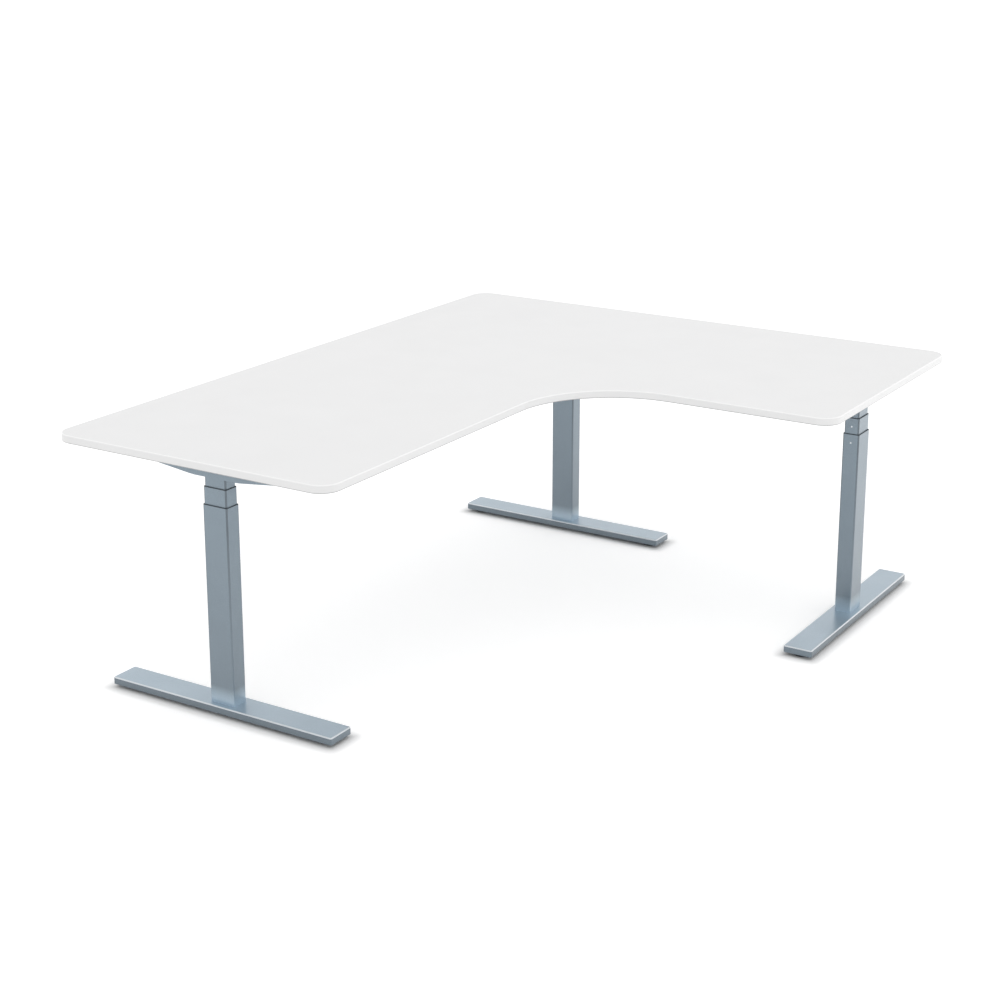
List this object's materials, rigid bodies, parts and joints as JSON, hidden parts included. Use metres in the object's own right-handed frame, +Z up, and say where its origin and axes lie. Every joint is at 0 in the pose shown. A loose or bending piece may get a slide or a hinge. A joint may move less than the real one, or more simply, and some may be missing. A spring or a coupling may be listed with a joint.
{
  "type": "height adjustable standing desk",
  "caption": "L-shaped corner desk whose top rises and falls on telescopic motor columns with flat feet, levelling glides and a push-button handset.",
  "frame": {"origin": "on the floor under the middle of the top's bounding box", "axes": "+Z up, Y along the long side of the L, X along the short side; the inner curve opens towards +X and -Y"},
  "size_m": [1.7, 2.1, 0.74],
  "materials": {
    "white_laminate": "satin white laminate on board",
    "white_edging": "satin white edging",
    "silver_paint": "satin silver-grey metallic paint",
    "dark_collar": "matt dark grey",
    "bush_screw_steel": "bright flush head",
    "black_pad": "matt black",
    "beam_paint": "satin silver-grey metallic paint",
    "zinc_steel": "zinc plated",
    "screw_steel": "oiled steel",
    "guide_plastic": "natural bearing plastic",
    "motor_steel": "satin black",
    "control_plastic": "fine textured black",
    "button_plastic": "satin grey",
    "circuit_board": "solder mask"
  },
  "bodies": {
    "base": {"left_foot": "silver_paint", "left_outer_tube": "silver_paint", "corner_foot": "silver_paint", "corner_outer_tube": "silver_paint", "right_foot": "silver_paint", "right_outer_tube": "silver_paint", "glide_nuts": "zinc_steel", "foot_bolts": "zinc_steel", "column_base_plates": "zinc_steel", "base_screws": "screw_steel", "outer_bushes": "dark_collar", "outer_tube_screws": "bush_screw_steel"},
    "middle_stage": {"left_middle_tube": "silver_paint", "corner_middle_tube": "silver_paint", "right_middle_tube": "silver_paint", "middle_bushes": "dark_collar", "middle_tube_screws": "bush_screw_steel", "middle_glide_rings": "guide_plastic", "middle_bearing_plates": "zinc_steel"},
    "top_stage": {"left_inner_tube": "silver_paint", "left_support_arm": "silver_paint", "corner_inner_tube": "silver_paint", "corner_support_arm": "silver_paint", "right_inner_tube": "silver_paint", "right_support_arm": "silver_paint", "inner_glide_rings": "guide_plastic", "inner_nuts": "guide_plastic", "gear_motors": "motor_steel", "motor_screws": "zinc_steel", "column_head_plates": "beam_paint", "arm_screws": "zinc_steel", "main_beam": "beam_paint", "return_beam": "beam_paint", "beam_end_plates": "beam_paint", "beam_bolts": "zinc_steel", "beam_nuts": "zinc_steel", "desktop_board": "white_laminate", "desktop_edge_band": "white_edging", "control_box_base": "control_plastic", "control_box_cover": "control_plastic", "control_board": "circuit_board", "control_box_screws": "zinc_steel", "handset_case": "control_plastic", "handset_board": "circuit_board", "handset_screws": "zinc_steel"},
    "up_button": {"up_button": "button_plastic"},
    "down_button": {"down_button": "button_plastic"},
    "left_drive_tube": {"left_drive_tube": "screw_steel"},
    "left_lift_screw": {"left_lift_screw": "screw_steel"},
    "left_front_glide": {"left_front_glide": "black_pad"},
    "left_rear_glide": {"left_rear_glide": "black_pad"},
    "corner_drive_tube": {"corner_drive_tube": "screw_steel"},
    "corner_lift_screw": {"corner_lift_screw": "screw_steel"},
    "corner_front_glide": {"corner_front_glide": "black_pad"},
    "corner_rear_glide": {"corner_rear_glide": "black_pad"},
    "right_drive_tube": {"right_drive_tube": "screw_steel"},
    "right_lift_screw": {"right_lift_screw": "screw_steel"},
    "right_front_glide": {"right_front_glide": "black_pad"},
    "right_rear_glide": {"right_rear_glide": "black_pad"}
  },
  "joints": [
    {"name": "middle_lift", "type": "slide", "parent": "base", "child": "middle_stage", "axis": [0, 0, 1], "range_m": [-0.022, 0.278]},
    {"name": "top_lift", "type": "slide", "parent": "middle_stage", "child": "top_stage", "axis": [0, 0, 1], "range_m": [-0.022, 0.278]},
    {"name": "left_drive_turn", "type": "hinge", "parent": "top_stage", "child": "left_drive_tube", "pos_m": [-0.4, -0.912, 0.5], "axis": [0, 0, 1], "range_deg": [-1000, 12520]},
    {"name": "left_screw_turn", "type": "hinge", "parent": "middle_stage", "child": "left_lift_screw", "pos_m": [-0.4, -0.912, 0.2], "axis": [0, 0, 1], "range_deg": [-1000, 12520]},
    {"name": "left_front_glide_level", "type": "slide", "parent": "base", "child": "left_front_glide", "axis": [0, 0, 1], "range_m": [-0.005, 0.002]},
    {"name": "left_rear_glide_level", "type": "slide", "parent": "base", "child": "left_rear_glide", "axis": [0, 0, 1], "range_m": [-0.005, 0.002]},
    {"name": "corner_drive_turn", "type": "hinge", "parent": "top_stage", "child": "corner_drive_tube", "pos_m": [-0.4, 0.878, 0.5], "axis": [0, 0, 1], "range_deg": [-1000, 12520]},
    {"name": "corner_screw_turn", "type": "hinge", "parent": "middle_stage", "child": "corner_lift_screw", "pos_m": [-0.4, 0.878, 0.2], "axis": [0, 0, 1], "range_deg": [-1000, 12520]},
    {"name": "corner_front_glide_level", "type": "slide", "parent": "base", "child": "corner_front_glide", "axis": [0, 0, 1], "range_m": [-0.005, 0.002]},
    {"name": "corner_rear_glide_level", "type": "slide", "parent": "base", "child": "corner_rear_glide", "axis": [0, 0, 1], "range_m": [-0.005, 0.002]},
    {"name": "right_drive_turn", "type": "hinge", "parent": "top_stage", "child": "right_drive_tube", "pos_m": [0.741, 0.6, 0.5], "axis": [0, 0, 1], "range_deg": [-1000, 12520]},
    {"name": "right_screw_turn", "type": "hinge", "parent": "middle_stage", "child": "right_lift_screw", "pos_m": [0.741, 0.6, 0.2], "axis": [0, 0, 1], "range_deg": [-1000, 12520]},
    {"name": "right_front_glide_level", "type": "slide", "parent": "base", "child": "right_front_glide", "axis": [0, 0, 1], "range_m": [-0.005, 0.002]},
    {"name": "right_rear_glide_level", "type": "slide", "parent": "base", "child": "right_rear_glide", "axis": [0, 0, 1], "range_m": [-0.005, 0.002]},
    {"name": "up_press", "type": "slide", "parent": "top_stage", "child": "up_button", "axis": [-1, 0, 0], "range_m": [0, 0.0012], "stiffness_N_per_m": 500},
    {"name": "down_press", "type": "slide", "parent": "top_stage", "child": "down_button", "axis": [-1, 0, 0], "range_m": [0, 0.0012], "stiffness_N_per_m": 500}
  ],
  "couplings": [
    {"joint": "middle_lift", "follows": "top_lift", "ratio": 1},
    {"joint": "left_drive_turn", "follows": "top_lift", "rad_per_m": 785.4},
    {"joint": "left_screw_turn", "follows": "top_lift", "rad_per_m": 785.4},
    {"joint": "corner_drive_turn", "follows": "top_lift", "rad_per_m": 785.4},
    {"joint": "corner_screw_turn", "follows": "top_lift", "rad_per_m": 785.4},
    {"joint": "right_drive_turn", "follows": "top_lift", "rad_per_m": 785.4},
    {"joint": "right_screw_turn", "follows": "top_lift", "rad_per_m": 785.4}
  ]
}
